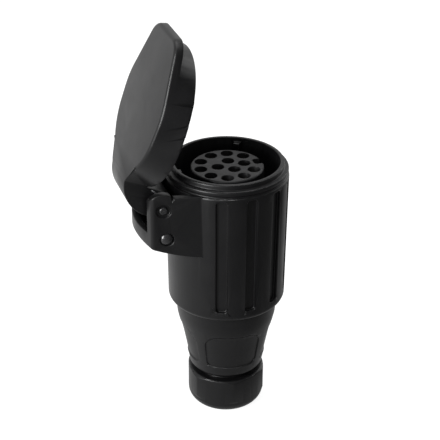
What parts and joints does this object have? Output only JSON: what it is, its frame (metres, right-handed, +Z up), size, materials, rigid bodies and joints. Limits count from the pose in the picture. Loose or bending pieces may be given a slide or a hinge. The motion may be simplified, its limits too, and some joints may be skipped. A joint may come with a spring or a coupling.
{
  "type": "trailer socket",
  "caption": "In-line trailer socket with a fluted round barrel, hinged lid, tapered rear shell and cable gland nut.",
  "frame": {"origin": "centre of the gland nut's flat bottom, where the cable leaves", "axes": "+Z up the socket's axis towards the mouth, -X towards the lid's hinge, +X towards the keyway, hinge axis along Y"},
  "size_m": [0.0724, 0.0544, 0.1763],
  "materials": {
    "shell": "satin black moulded plastic",
    "insert": "matt dark grey moulded plastic",
    "seal": "soft black rubber",
    "slip_ring": "plain grey slip ring",
    "contact": "turned brass",
    "steel": "zinc plated steel",
    "black_pin": "blackened steel"
  },
  "bodies": {
    "socket": {"front_housing": "shell", "rear_shell": "shell", "housing_seal": "seal", "contact_carrier": "insert", "carrier_plate": "insert", "carrier_screws": "steel", "contact_01": "contact", "contact_02": "contact", "contact_03": "contact", "contact_04": "contact", "contact_05": "contact", "contact_06": "contact", "contact_07": "contact", "contact_08": "contact", "contact_09": "contact", "contact_10": "contact", "contact_11": "contact", "contact_12": "contact", "contact_13": "contact", "terminal_screws": "steel", "hinge_pin": "black_pin", "stop_pin": "black_pin", "hinge_spring_front": "steel", "hinge_spring_rear": "steel", "gland_seal": "seal"},
    "lid": {"lid": "shell", "lid_gasket": "seal"},
    "slip_ring": {"gland_ring": "slip_ring"},
    "gland_nut": {"gland_nut": "shell"}
  },
  "joints": [
    {"name": "lid_hinge", "type": "hinge", "parent": "socket", "child": "lid", "pos_m": [-0.0321, 0, 0.1068], "axis": [0, 1, 0], "range_deg": [-35, 69.5]},
    {"name": "gland_travel", "type": "slide", "parent": "socket", "child": "slip_ring", "axis": [0, 0, 1], "range_m": [-0.0045, 0]},
    {"name": "gland_turn", "type": "hinge", "parent": "slip_ring", "child": "gland_nut", "pos_m": [0, 0, 0], "axis": [0, 0, 1], "range_deg": [-1080, 0]}
  ],
  "couplings": [
    {"joint": "gland_turn", "follows": "gland_travel", "rad_per_m": 4188.8}
  ]
}
